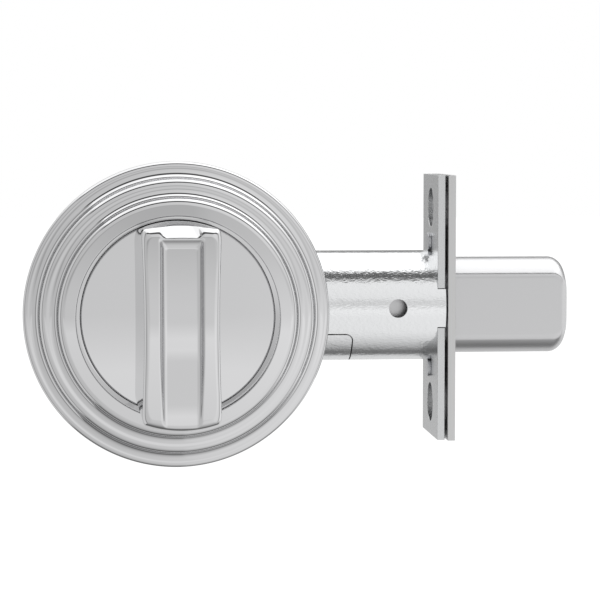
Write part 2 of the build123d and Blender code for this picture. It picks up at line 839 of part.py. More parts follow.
# Cylinder body: bored for the plug, with two ears and threaded posts for the long screws
with BuildPart() as cylinder_body:
    body_top = collar_top - body_sink
    flange_top = collar_top - collar_lip - seat - guard_disc_thickness - seat
    with BuildSketch(outer_section()):
        Polygon(
            (plug_radius + running, body_back),
            (body_radius, body_back),
            (body_radius, flange_top - body_flange_height),
            (body_flange_radius, flange_top - body_flange_height),
            (body_flange_radius, flange_top),
            (body_radius, flange_top),
            (body_radius, body_top),
            (plug_head_radius + seat, body_top),
            (plug_head_radius + seat, body_top - plug_head_height),
            (plug_radius + running, body_top - plug_head_height),
            align=None,
        )
    revolve(axis=Axis.Y)
    with BuildSketch(facing_room(door_half + collar_ear_depth - seat)):
        RectangleRounded(ear_width, 2 * ear_half_length, ear_width / 2 - seat)
        Circle(body_radius - overrun, mode=Mode.SUBTRACT)
    extrude(amount=ear_thickness)
    with BuildSketch(facing_room(door_half + collar_ear_depth - seat)):
        with GridLocations(0, 2 * screw_offset, 1, 2):
            Circle(post_radius)
    extrude(amount=collar_ear_depth - seat + post_reach)
    with BuildSketch(facing_room(door_half + collar_ear_depth - seat)):
        with GridLocations(0, 2 * screw_offset, 1, 2):
            Circle(screw_radius + running / 2)
    extrude(amount=collar_ear_depth + post_reach, mode=Mode.SUBTRACT)
cylinder_body.part.label = "cylinder_body"
export_step(cylinder_body.part, "parts/cylinder_body.step")

# Key plug, with its head, keyway and clip groove
with BuildPart() as key_plug:
    plug_front = door_half + body_top
    clip_back = door_half + body_back - clip_gap
    with BuildSketch(facing_room(plug_front)):
        Circle(plug_radius)
    extrude(amount=plug_front - plug_rear)
    with BuildSketch(facing_room(plug_front)):
        Circle(plug_head_radius)
    extrude(amount=plug_head_height - running)
    with BuildSketch(facing_room(clip_back + seat / 2)):
        Circle(plug_radius)
        Circle(plug_radius - clip_groove_depth, mode=Mode.SUBTRACT)
    extrude(amount=clip_thickness + seat, mode=Mode.SUBTRACT)
    with BuildSketch(facing_room(plug_front)):
        with Locations((0, -keyway_drop)):
            Rectangle(keyway_width, keyway_height)
    extrude(amount=keyway_depth, mode=Mode.SUBTRACT)
key_plug.part.label = "key_plug"
export_step(key_plug.part, "parts/key_plug.step")

# Snap ring that keeps the plug in the body
plug_clip = open_ring(
    facing_room(clip_back),
    plug_radius - clip_groove_depth + running,
    clip_radius,
    clip_thickness,
    plug_radius,
)
plug_clip.label = "plug_clip"
export_step(plug_clip, "parts/plug_clip.step")

# Driver on the plug's end: its one dog meets the tailpiece's lug after most of a turn
with BuildPart() as plug_driver:
    with BuildSketch(facing_room(plug_rear)):
        Circle(plug_driver_radius)
    extrude(amount=plug_driver_thickness)
    with BuildSketch(facing_room(plug_rear)):
        Circle(plug_driver_radius)
        with BuildSketch(mode=Mode.INTERSECT):
            sector(plug_dog_angle, driver_lug_angle, 2 * plug_driver_radius)
        Circle(plug_dog_radius, mode=Mode.SUBTRACT)
    extrude(amount=plug_rear - driver_front)
plug_driver.part.label = "plug_driver"
export_step(plug_driver.part, "parts/plug_driver.step")
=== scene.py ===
"""Looks of a tubular deadbolt: polished stepped rose and thumbturn, zinc-plated latch, satin bolt.

Sizes are written in millimetres and become metres when a mesh is made.
X runs along the bolt towards the door's edge, -Y along the spindle towards the room, Z is up.
"""

import math

import bmesh
import bpy
import numpy as np
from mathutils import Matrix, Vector


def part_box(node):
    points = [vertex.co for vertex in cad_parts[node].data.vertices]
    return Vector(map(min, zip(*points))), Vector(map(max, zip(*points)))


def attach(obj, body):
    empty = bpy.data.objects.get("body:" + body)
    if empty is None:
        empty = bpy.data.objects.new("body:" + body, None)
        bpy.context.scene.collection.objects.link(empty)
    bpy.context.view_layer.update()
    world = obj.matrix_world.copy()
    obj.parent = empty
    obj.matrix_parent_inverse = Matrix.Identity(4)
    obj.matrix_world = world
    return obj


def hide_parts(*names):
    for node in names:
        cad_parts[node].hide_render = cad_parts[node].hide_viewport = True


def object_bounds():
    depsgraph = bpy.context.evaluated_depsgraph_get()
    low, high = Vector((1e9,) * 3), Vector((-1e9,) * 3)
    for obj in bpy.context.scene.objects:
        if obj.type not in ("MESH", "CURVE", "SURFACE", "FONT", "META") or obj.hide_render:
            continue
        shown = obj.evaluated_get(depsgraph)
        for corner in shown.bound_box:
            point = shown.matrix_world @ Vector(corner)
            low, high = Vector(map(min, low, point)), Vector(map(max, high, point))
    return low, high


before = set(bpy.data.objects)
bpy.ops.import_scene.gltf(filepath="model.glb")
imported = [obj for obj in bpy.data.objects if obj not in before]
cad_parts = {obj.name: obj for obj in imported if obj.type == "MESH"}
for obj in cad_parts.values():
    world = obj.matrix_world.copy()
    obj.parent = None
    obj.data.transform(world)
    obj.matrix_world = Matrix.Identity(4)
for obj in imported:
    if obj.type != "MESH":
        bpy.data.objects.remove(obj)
cad_low, cad_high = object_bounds()

MM = 0.001

# How finely curves are divided
TURN_STEPS = 360
ROSE_STEPS = 600
TUBE_STEPS = 240
BOLT_STEPS = 480
GRIP_STEPS = 640
ROD_STEPS = 96
SET_SCREW_STEPS = 64
TENT_STEPS = (91, 180)
ARC_STEP = math.radians(5)
SUPPORT = 0.05
SMOOTH_BELOW = math.radians(32)
FLAT_BELOW = math.radians(0.4)
MERGE_DISTANCE = 0.0015

# Edges that a buffing wheel or a tumbler leaves, and that thin spring stock has
BUFFED_EDGE = 0.25
TUMBLED_EDGE = 0.12
THIN_EDGE = 0.05

# How far past a surface a face's centre may lie and still count as on it
NEAR = 0.02

# How far a cutting tool runs past the piece
overrun = 1.0
cutter_margin = 2.0


def corner(node, end, axis):
    """One coordinate, in millimetres, of a node's low (0) or high (1) corner."""
    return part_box(node)[end][axis] / MM


# Places that the frame gives
inner_face = corner("inside_rose", 1, 1)
outer_face = corner("outside_collar", 0, 1)
rose_radius = corner("inside_rose", 1, 0)
rose_top = inner_face - corner("inside_rose", 0, 1)
disc_radius = corner("thumbturn", 1, 0)
hub_end = inner_face - corner("thumbturn", 1, 1)
grip_top = inner_face - corner("thumbturn", 0, 1)
tube_rear = corner("latch_tube", 0, 0)
tab_end = corner("latch_tube", 1, 0)
tube_radius = corner("latch_tube", 1, 2)
plate_rear = corner("backplate", 0, 0)
cover_rear = corner("case_cover", 0, 0)
cover_front = corner("case_cover", 1, 0)
cover_top = corner("case_cover", 1, 2)
bolt_tip = corner("bolt", 1, 0)
bolt_radius = corner("bolt", 1, 2)
bolt_half_width = corner("bolt", 1, 1)
collar_radius = corner("outside_collar", 1, 0)
collar_top = corner("outside_collar", 1, 1) - outer_face

# Rose: radius of each ring's wall, height of its land, radius of its edge and of the cove before it
rose_hole = 20.7
rose_land_rise = 0.21
ring_walls = (rose_radius, 28.3, 24.45)
ring_tops = (5.0, 9.3, rose_top - rose_land_rise)
ring_edges = (1.1, 1.5, 1.5)
ring_coves = (0.0, 2.15, 1.8)
ring_draft = 0.25
rose_floor_top = 7.0
rose_floor_back = 5.0
rose_wall = 2.1
rose_cavity = 26.8
rose_cavity_depth = 7.0
hub_clearance = 0.05
set_screw_radius = 1.5
set_screw_height = 2.5
set_screw_reach = (-40.0, -20.0)

# Outer collar, by height above the door's outer face
collar_shoulder = 2.0
collar_step_radius = 26.6
collar_step_height = 5.0
collar_bore = 25.5
collar_mouth = 16.65
collar_lip = 2.6
collar_pocket = 23.6
collar_pocket_floor = 4.2

# Thumbturn. Each end is how far it reaches from the spindle's axis, and the radius it is bent to
disc_top = 10.5
disc_back = 7.3
hub_radius = 6.45
hub_groove = 1.2
groove_low = 2.85
groove_high = 4.15
blade_thickness = 2.1
blade_width = 6.6
blade_socket = 8.8
grip_base_half = 8.9
grip_front_half = 7.9
grip_waist_base = 0.2
grip_waist_front = 0.5
grip_foot_end = (19.85, 19.85)
grip_upper_end = (19.4, 50.0)
grip_lower_end = (21.0, 21.0)
grip_corner = 2.4
grip_side_edge = 1.2
grip_end_edge = 2.4
grip_arch = 0.7
grip_arch_reach = 22.0
grip_foot_sink = 0.6
channel_half = 3.45
channel_top = 15.7
channel_sink = 1.25
channel_fades = (-4.0, -26.0)
channel_sink_end = 0.3
channel_flare = 0.7
channel_end_flare = 0.95
# Pads each side of it: middle of the round tip, its radius, and how the end falls away beyond
lip_height = 16.95
tip_across = 5.8
tip_height = 16.35
tip_radius = 2.1
end_fall = (0.95, 0.08)
# Roundings: the channel's sides with its end, its floor with its walls, the tips with the lip, the channel
# with the upper end, and all of that with the front
channel_corner = 0.7
channel_foot = 0.8
tip_rounding = 0.6
end_rounding = 0.35
front_rounding = 0.3

# Latch
tube_wall = 1.2
journal_hole = 6.45
side_hole = 2.0
side_hole_setback = 12.3
slot_half_length = 20.0
slot_half_width = 4.9
tab_half_height = 4.1
cover_corner = 1.7
cover_gap = 0.27
bolt_length = 51.3
bolt_nose = 3.2
bolt_bevel = 1.2
bolt_corner = 0.5
face_front = 60.325


def merged(name, mesh):
    """A smooth object of a mesh with its doubles merged, its faces outward and its sharp edges kept."""
    shape = bmesh.new()
    shape.from_mesh(mesh)
    bmesh.ops.remove_doubles(shape, verts=shape.verts, dist=MERGE_DISTANCE * MM)
    bmesh.ops.recalc_face_normals(shape, faces=shape.faces)
    shape.to_mesh(mesh)
    shape.free()
    mesh.shade_smooth()
    mesh.set_sharp_from_angle(angle=SMOOTH_BELOW)
    piece = bpy.data.objects.new(name, mesh)
    bpy.context.scene.collection.objects.link(piece)
    return piece


def grid_faces(rows, columns, first=0, rows_close=True):
    """Quads of a grid whose columns close round, and whose rows may close too."""
    row = np.arange(rows if rows_close else rows - 1)[:, None]
    column = np.arange(columns)[None, :]
    next_row = (row + 1) % rows
    next_column = (column + 1) % columns
    corners = (
        row * columns + column,
        row * columns + next_column,
        next_row * columns + next_column,
        next_row * columns + column,
    )
    return np.stack([np.broadcast_to(c, (len(row), columns)) for c in corners], -1).reshape(-1, 4) + first


def piece_of(name, shells):
    """One object of several grids, each (points of rows by columns by 3, whether its rows close round)."""
    points = []
    faces = []
    first = 0
    for shell, rows_close in shells:
        rows, columns = shell.shape[:2]
        faces.append(grid_faces(rows, columns, first, rows_close))
        points.append(shell.reshape(-1, 3) * MM)
        first += rows * columns
    mesh = bpy.data.meshes.new(name)
    mesh.from_pydata(np.concatenate(points), [], np.concatenate(faces).tolist())
    return merged(name, mesh)


def rounded(corners):
    """Closed outline of corners (x, y, radius), each of them an arc that touches both its sides.

    A short run on each side of an arc keeps the neighbouring flat flat when it is shaded.
    """
    place = np.array([c[:2] for c in corners], float)
    runs = []
    for index, (x, y, radius) in enumerate(corners):
        here = place[index]
        if radius == 0:
            runs.append(here[None, :])
            continue
        back = place[index - 1] - here
        ahead = place[(index + 1) % len(place)] - here
        back /= np.linalg.norm(back)
        ahead /= np.linalg.norm(ahead)
        half = math.acos(np.clip(back @ ahead, -1, 1)) / 2
        reach = radius / math.tan(half)
        middle = back + ahead
        centre = here + middle / np.linalg.norm(middle) * radius / math.sin(half)
        start = here + back * reach - centre
        end = here + ahead * reach - centre
        turn = math.pi - 2 * half
        share = np.linspace(0, 1, max(3, math.ceil(turn / ARC_STEP)) + 1)[:, None]
        arc = (np.sin((1 - share) * turn) * start + np.sin(share * turn) * end) / math.sin(turn)
        runs.append((centre + start + back * SUPPORT)[None, :])
        runs.append(centre + arc)
        runs.append((centre + end + ahead * SUPPORT)[None, :])
    return np.concatenate(runs)


def spun(profile, place, steps=TURN_STEPS):
    """Grid of a profile carried round an axis.

    Its point (r, height) goes to place(r cos t, r sin t, height) at each turn t.
    """
    radius = profile[:, :1]
    turn = np.linspace(0, 2 * np.pi, steps, endpoint=False)[None, :]
    height = np.broadcast_to(profile[:, 1:], (len(profile), steps))
    return place(radius * np.cos(turn), radius * np.sin(turn), height)


def room_side(across, up, height):
    """Points at a height above the door's inner face."""
    return np.stack([across, inner_face - height, up], -1)


def street_side(across, up, height):
    """Points at a height above the door's outer face."""
    return np.stack([across, outer_face + height, up], -1)


def along_bolt(across, up, height):
    """Points at a place along the bolt's axis."""
    return np.stack([height, across, up], -1)


def cut(piece, tools, keep=False):
    """Cuts the tools out of a piece, or keeps only what lies in them, and removes the tools."""
    for tool in tools:
        step = piece.modifiers.new("cut", "BOOLEAN")
        step.operation = "INTERSECT" if keep else "DIFFERENCE"
        step.solver = "EXACT"
        step.object = tool
    bpy.context.view_layer.update()
    shaped = piece.evaluated_get(bpy.context.evaluated_depsgraph_get())
    mesh = bpy.data.meshes.new_from_object(shaped)
    piece.modifiers.clear()
    piece.data = mesh
    mesh.shade_smooth()
    mesh.set_sharp_from_angle(angle=SMOOTH_BELOW)
    for tool in tools:
        bpy.data.objects.remove(tool)
    return piece


def block(low, high):
    """A cutting tool: a box from one corner to the other."""
    low, high = np.array(low, float), np.array(high, float)
    square = np.array([(0, 0), (1, 0), (1, 1), (0, 1)])
    rows = [np.zeros((4, 2)) + 0.5, square, square, np.zeros((4, 2)) + 0.5]
    levels = np.array([0, 0, 1, 1])[:, None, None]
    share = np.concatenate([np.array(rows), np.broadcast_to(levels, (4, 4, 1))], -1)
    return piece_of("tool", [(low + share * (high - low), False)])


def rod(place, radius, start, end, steps=ROD_STEPS):
    """A cutting tool: a round bar about an axis."""
    profile = np.array([(0, start), (radius, start), (radius, end), (0, end)], float)
    return piece_of("tool", [(spun(profile, place, steps), True)])


def prism(outline, depth):
    """A cutting tool: an outline in X and Z, carried through along Y from -depth to +depth."""
    middle = np.broadcast_to(outline.mean(0), outline.shape)
    rows = [(middle, -depth), (outline, -depth), (outline, depth), (middle, depth)]
    shell = [np.stack([o[:, 0], np.full(len(o), y), o[:, 1]], -1) for o, y in rows]
    return piece_of("tool", [(np.array(shell), False)])


def mount(piece, body, slot, *nodes):
    """Puts a piece on its body, in the place of its nodes and with their finish."""
    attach(piece, body)
    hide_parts(*nodes)
    piece.data.materials.clear()
    piece.data.materials.append(finishes[slot])
    return piece


# Colours and nodes


def colour(code):
    """sRGB hex code to linear colour."""
    part = np.array([int(code[i : i + 2], 16) for i in (1, 3, 5)]) / 255
    straight = np.where(part <= 0.04045, part / 12.92, ((part + 0.055) / 1.055) ** 2.4)
    return (*straight, 1.0)


def add_node(tree, kind, inputs=None, **settings):
    """Adds a node, sets it, and fills each input with a value or with a link from a socket."""
    node = tree.nodes.new(kind)
    for name, value in settings.items():
        setattr(node, name, value)
    for key, value in (inputs or {}).items():
        if isinstance(value, bpy.types.NodeSocket):
            tree.links.new(value, node.inputs[key])
        else:
            node.inputs[key].default_value = value
    return node


def blank_material(name):
    """An empty node material with its output, its shader and its object coordinates."""
    material = bpy.data.materials.new(name)
    material.use_nodes = True
    tree = material.node_tree
    tree.nodes.clear()
    shader = add_node(tree, "ShaderNodeBsdfPrincipled")
    add_node(tree, "ShaderNodeOutputMaterial", {"Surface": shader.outputs[0]})
    place = add_node(tree, "ShaderNodeTexCoord").outputs["Object"]
    return material, tree, shader, place


def grain_size(length):
    """Scale of a noise whose features are about this many millimetres long."""
    return 1 / (length * MM)


def polished_chrome():
    """Chrome plating over buffed zinc: mirror bright, with the faint swell that buffing leaves."""
    material, tree, shader, place = blank_material("polished_chrome")
    swell = add_node(
        tree, "ShaderNodeTexNoise", {"Vector": place, "Scale": grain_size(9.0), "Detail": 1.0}
    )
    bump = add_node(
        tree,
        "ShaderNodeBump",
        {"Height": swell.outputs["Fac"], "Distance": 0.002 * MM, "Strength": 1.0},
    )
    wipe = add_node(
        tree, "ShaderNodeTexNoise", {"Vector": place, "Scale": grain_size(1.5), "Detail": 4.0}
    )
    haze = add_node(
        tree,
        "ShaderNodeMapRange",
        {"Value": wipe.outputs["Fac"], "To Min": 0.01, "To Max": 0.025},
    )
    shader.inputs["Base Color"].default_value = colour("#cfcfd0")
    shader.inputs["Metallic"].default_value = 1.0
    tree.links.new(haze.outputs[0], shader.inputs["Roughness"])
    tree.links.new(bump.outputs[0], shader.inputs["Normal"])
    return material


def zinc_plate():
    """Bright zinc on drawn steel: pale, with grain of about half a millimetre that breaks reflections up."""
    material, tree, shader, place = blank_material("zinc_plate")
    grain = add_node(
        tree, "ShaderNodeTexNoise", {"Vector": place, "Scale": grain_size(1.1), "Detail": 3.0}
    )
    stretched = add_node(
        tree, "ShaderNodeMapping", {"Vector": place, "Scale": (0.5, 1.0, 1.0)}
    )
    drawn = add_node(
        tree,
        "ShaderNodeTexNoise",
        {"Vector": stretched.outputs[0], "Scale": grain_size(0.35), "Detail": 2.0},
    )
    both = add_node(
        tree,
        "ShaderNodeMath",
        {0: grain.outputs["Fac"], 1: drawn.outputs["Fac"]},
        operation="ADD",
    )
    bump = add_node(
        tree,
        "ShaderNodeBump",
        {"Height": both.outputs[0], "Distance": 0.035 * MM, "Strength": 1.0},
    )
    rough = add_node(
        tree,
        "ShaderNodeMapRange",
        {"Value": grain.outputs["Fac"], "To Min": 0.08, "To Max": 0.2},
    )
    shader.inputs["Base Color"].default_value = colour("#e6e7e8")
    shader.inputs["Metallic"].default_value = 1.0
    tree.links.new(rough.outputs[0], shader.inputs["Roughness"])
    tree.links.new(bump.outputs[0], shader.inputs["Normal"])
    return material


def ground_metal(name, tint, grind, roughness, depth):
    """Ground metal: fine scratches, drawn out along each axis where grind is less than 1.

    A real scratch is some hundredths of a millimetre wide. It is drawn 0.3 mm wide, so that it shows.
    """
    material, tree, shader, place = blank_material(name)
    stretched = add_node(tree, "ShaderNodeMapping", {"Vector": place, "Scale": grind})
    scratch = add_node(
        tree,
        "ShaderNodeTexNoise",
        {"Vector": stretched.outputs[0], "Scale": grain_size(0.3), "Detail": 4.0},
    )
    bump = add_node(
        tree,
        "ShaderNodeBump",
        {"Height": scratch.outputs["Fac"], "Distance": depth * MM, "Strength": 1.0},
    )
    rough = add_node(
        tree,
        "ShaderNodeMapRange",
        {
            "Value": scratch.outputs["Fac"],
            "To Min": roughness - 0.05,
            "To Max": roughness + 0.05,
        },
    )
    shader.inputs["Base Color"].default_value = colour(tint)
    shader.inputs["Metallic"].default_value = 1.0
    tree.links.new(rough.outputs[0], shader.inputs["Roughness"])
    tree.links.new(bump.outputs[0], shader.inputs["Normal"])
    return material


finishes = {
    "polished_chrome": polished_chrome(),
    "zinc_plate": zinc_plate(),
    # Ground steel of the face plate: even grey, with upright streaks that spread its reflections sideways
    "satin_steel": ground_metal("satin_steel", "#c6c6c6", (1.0, 1.0, 0.04), 0.3, 0.006),
    # Finely ground steel of the bolt: an even satin grey, without visible lines
    "satin_bolt": ground_metal("satin_bolt", "#c8c8c9", (1.0, 0.5, 1.0), 0.3, 0.004),
    # Zinc-plated screw steel: pale and a little cloudy
    "screw_steel": ground_metal("screw_steel", "#c4c5c8", (1.0, 1.0, 1.0), 0.28, 0.003),
    # Blued spring steel: darker, with the grain of rolled strip
    "spring_steel": ground_metal("spring_steel", "#9b9da2", (0.1, 1.0, 1.0), 0.3, 0.003),
    # Hardened and ground steel: darker than the zinc, with a closer shine
    "hard_steel": ground_metal("hard_steel", "#b2b2b5", (1.0, 0.1, 1.0), 0.22, 0.002),
    # Machined brass of the cylinder: warm yellow, with fine lines along the spindle
    "cylinder_brass": ground_metal("cylinder_brass", "#d9c48c", (1.0, 0.08, 1.0), 0.25, 0.004),
}
# Unbuffed zinc casting in the hollow backs of rose and collar: dull beside the chrome, and painted darker
# than bare casting as shade in the hollows
raw_casting_and_shade = ground_metal("raw_casting_and_shade", "#5c5d60", (1.0, 1.0, 1.0), 0.5, 0.02)
# Painted shade inside the tube: steel coloured near black, so that the holes read dark
tube_inside_painted_shade = ground_metal("tube_inside_painted_shade", "#2e2e30", (0.06, 1.0, 1.0), 0.35, 0.005)
# Zinc on the stamped back plate: a shade duller than the tube's
stamped_zinc = ground_metal("stamped_zinc", "#cccdce", (1.0, 1.0, 0.3), 0.28, 0.012)


# Rose, collar and thumbturn


def lined(piece, material, hidden):
    """Gives a second finish to the faces whose centres, in millimetres, hidden() picks."""
    mesh = piece.data
    mesh.materials.append(material)
    centre = np.empty(3 * len(mesh.polygons))
    mesh.polygons.foreach_get("center", centre)
    x, y, z = centre.reshape(-1, 3).T / MM
    mesh.polygons.foreach_set("material_index", hidden(x, y, z).astype(np.int32))


def make_rose():
    """Lathe profile of the three rings, the bored recess and the hollow back.

    Each ring has a wall, a round edge and a land, and a cove leads from the land up to the next wall.
    The walls of the two inner rings lean inwards by the draft.
    """
    ring_feet = (0.0, *ring_tops)
    rings = []
    for wall, foot, top, cove, edge in zip(ring_walls, ring_feet, ring_tops, ring_coves, ring_edges):
        lean = ring_draft if cove else 0.0
        rings += [(wall + lean, foot, cove), (wall - lean, top, edge)]
    profile = rounded(
        [
            (rose_cavity, 0.0, 0.0),
            (rose_radius, 0.0, BUFFED_EDGE),
            *rings[1:],
            (rose_hole, rose_top, BUFFED_EDGE),
            (rose_hole, rose_floor_top, 0.0),
            (hub_radius + hub_clearance, rose_floor_top, 0.0),
            (hub_radius + hub_clearance, rose_floor_back, 0.0),
            (rose_hole + rose_wall, rose_floor_back, 0.0),
            (rose_hole + rose_wall, rose_cavity_depth, 0.0),
            (rose_cavity, rose_cavity_depth, 0.0),
        ]
    )
    piece = piece_of("polished_rose", [(spun(profile, room_side, ROSE_STEPS), True)])

    def at_set_screw(across, along, height):
        """Points round the set screw's axis, at a height above the spindle's."""
        return np.stack([across, along + inner_face - set_screw_height, height], -1)

    hole = rod(at_set_screw, set_screw_radius, *set_screw_reach, SET_SCREW_STEPS)
    mount(cut(piece, [hole]), "root", "polished_chrome", "inside_rose")

    def unbuffed_and_shaded_hollow(x, y, z):
        """The hollow back, which gets the dull casting, painted darker as shade."""
        radius, height = np.hypot(x, z), inner_face - y
        floor = np.where(radius < rose_hole + rose_wall + NEAR, rose_floor_back, rose_cavity_depth)
        return (radius < rose_cavity + NEAR) & (height < floor + NEAR)

    # The hollow back gets the dull casting, whose dark colour is partly painted shade
    lined(piece, raw_casting_and_shade, unbuffed_and_shaded_hollow)


def make_collar():
    """Lathe profile of the outer guard: a stepped ring with a lip round the cylinder."""
    profile = rounded(
        [
            (collar_bore, 0.0, 0.0),
            (collar_radius, 0.0, BUFFED_EDGE),
            (collar_radius, collar_step_height, collar_shoulder),
            (collar_step_radius, collar_step_height, 0.0),
            (collar_step_radius, collar_top, collar_shoulder),
            (collar_mouth, collar_top, BUFFED_EDGE),
            (collar_mouth, collar_top - collar_lip, 0.0),
            (collar_pocket, collar_top - collar_lip, 0.0),
            (collar_pocket, collar_pocket_floor, 0.0),
            (collar_bore, collar_pocket_floor, 0.0),
        ]
    )
    piece = piece_of("polished_collar", [(spun(profile, street_side), True)])
    mount(piece, "root", "polished_chrome", "outside_collar")

    def unbuffed_and_shaded_hollow(x, y, z):
        """The hollow back, up to the underside of the lip, which gets the dull casting, painted darker as
        shade.
        """
        return (np.hypot(x, z) < collar_bore + NEAR) & (y - outer_face < collar_top - collar_lip + NEAR)

    # The hollow back gets the dull casting, whose dark colour is partly painted shade
    lined(piece, raw_casting_and_shade, unbuffed_and_shaded_hollow)


def soft_least(first, second, blend):
    """The lesser of two lengths, with the corner between them rounded over the blend."""
    share = np.clip(0.5 + 0.5 * (second - first) / blend, 0, 1)
    return second + (first - second) * share - blend * share * (1 - share)


def grip_outline(half, waist, upper, lower):
    """Outline of the grip, evenly spaced: the hollowed sides and the round ends, whichever is nearer.

    The side's half width at a height z is half - waist (1 - (z / corner height) squared).
    upper and lower say how far each end reaches from the spindle's axis, and the radius it is bent to.
    A ray from the middle meets the side at reach. The half width depends on that height, so a few rounds
    settle it.
    """
    samples = 7200
    settling_rounds = 4
    turn = np.linspace(0, 2 * np.pi, samples, endpoint=False)
    across, up = np.cos(turn), np.sin(turn)
    far, bend = np.where(up[:, None] > 0, upper, lower).T
    centre = far - bend
    end = np.abs(up) * centre + np.sqrt(bend**2 - (centre * across) ** 2)
    corner_height = centre + np.sqrt(bend**2 - half**2)
    reach = half / np.maximum(np.abs(across), 1e-6)
    for _ in range(settling_rounds):
        height = np.minimum(reach * np.abs(up), corner_height)
        width = half - waist * (1 - (height / corner_height) ** 2)
        reach = width / np.maximum(np.abs(across), 1e-6)
    reach = soft_least(np.minimum(reach, 4 * end), end, grip_corner)
    points = np.stack([reach * across, reach * up], -1)
    steps = np.linalg.norm(np.roll(points, -1, 0) - points, axis=1)
    length = np.concatenate([[0], np.cumsum(steps)])
    closed = np.concatenate([points, points[:1]])
    even = np.linspace(0, length[-1], GRIP_STEPS, endpoint=False)
    return np.stack([np.interp(even, length, closed[:, k]) for k in (0, 1)], -1)


def channel_depth(x, z):
    """How far the finger channel and the upper end lie below the front, less than nothing outside them.

    The channel's floor follows the front and fades out below, along the S curve share squared
    times (3 - 2 share). The upper end falls away beyond the channel's lip and the pads' round tips,
    by a share of the distance and a share of its square.
    """
    start, end = channel_fades
    share = np.clip((z - start) / (end - start), 0, 1)
    floor = channel_sink + (channel_sink_end - channel_sink) * share**2 * (3 - 2 * share)
    beside = (np.abs(x) - channel_half) / channel_flare
    outside = -soft_least(-beside, (channel_top - z) / channel_end_flare, channel_corner)
    channel = soft_least(floor - outside, floor, channel_foot)
    tip = np.hypot(np.abs(x) - tip_across, z - tip_height) - tip_radius
    beyond = soft_least(z - lip_height, tip, tip_rounding)
    fall = end_fall[0] * beyond + end_fall[1] * np.maximum(beyond, 0) ** 2
    return -soft_least(-channel, -fall, end_rounding)


def make_thumbturn():
    """Disc and hub from a lathe profile, and the grip as outlines stacked from its foot inwards to its spine.

    The outlines run up the tapered wall, round the edge as a quarter circle, and in to the spine.
    The front is an arch, and it drops to the channel's surface where that is lower.
    """
    wall_shares = (0.0, 0.02, 0.3, 0.6, 0.97)
    edge_rows = 25
    front_rows = 90
    base = grip_outline(grip_base_half, grip_waist_base, grip_foot_end, grip_foot_end)
    front = grip_outline(grip_front_half, grip_waist_front, grip_upper_end, grip_lower_end)
    end = np.where(front[:, 1:] > 0, grip_upper_end[0], grip_lower_end[0])
    spine_half = end - grip_front_half
    spine = np.concatenate([0 * end, front[:, 1:] * spine_half / end], -1)
    inward = spine - front
    depth = np.linalg.norm(inward, axis=1, keepdims=True)
    inward /= depth
    endness = np.clip((np.abs(front[:, 1:]) - spine_half) / grip_front_half, 0, 1)
    edge = grip_side_edge + (grip_end_edge - grip_side_edge) * endness**2
    foot_height = disc_top - grip_foot_sink
    wall_top = grip_top - grip_arch * (front[:, 1:] / grip_arch_reach) ** 2 - edge
    rows = []
    for share in wall_shares:
        place = base + (front - base) * share
        rows.append(np.concatenate([place, foot_height + (wall_top - foot_height) * share], -1))

    def front_row(inset, drop):
        """Points this far in from the front's outline, and this far below the arch or in the channel."""
        place = front + inward * inset
        x, z = place[:, :1], place[:, 1:]
        arch = grip_top - grip_arch * (z / grip_arch_reach) ** 2
        height = soft_least(arch - drop, arch - channel_depth(x, z), front_rounding)
        return np.concatenate([place, height], -1)

    for turn in np.linspace(0, np.pi / 2, edge_rows):
        rows.append(front_row(edge * (1 - math.cos(turn)), edge * (1 - math.sin(turn))))
    for share in np.linspace(0, 1, front_rows)[1:]:
        rows.append(front_row(edge + (depth - edge) * share, 0 * edge))
    rows = np.array(rows)
    grip = room_side(rows[..., 0], rows[..., 1], rows[..., 2])
    foot = grip[:1].mean(1, keepdims=True) + np.zeros_like(grip[:1])
    profile = rounded(
        [
            (0.0, hub_end, 0.0),
            (hub_radius, hub_end, TUMBLED_EDGE),
            (hub_radius, groove_low, 0.0),
            (hub_radius - hub_groove, groove_low, 0.0),
            (hub_radius - hub_groove, groove_high, 0.0),
            (hub_radius, groove_high, 0.0),
            (hub_radius, disc_back, 0.0),
            (disc_radius, disc_back, BUFFED_EDGE),
            (disc_radius, disc_top, 2 * BUFFED_EDGE),
            (0.0, disc_top, 0.0),
        ]
    )
    disc = piece_of("disc", [(spun(profile, room_side), True)])
    across, up = blade_thickness / 2, blade_width / 2
    socket = block(
        (-across, inner_face - blade_socket, -up), (across, inner_face - hub_end + overrun, up)
    )
    disc = cut(disc, [socket])
    handle = piece_of("handle", [(np.concatenate([foot, grip]), False)])
    with bpy.context.temp_override(active_object=disc, selected_editable_objects=[disc, handle]):
        bpy.ops.object.join()
    disc.name = "polished_thumbturn"
    disc.data.name = disc.name
    return mount(disc, "turn", "polished_chrome", "thumbturn")


# Latch


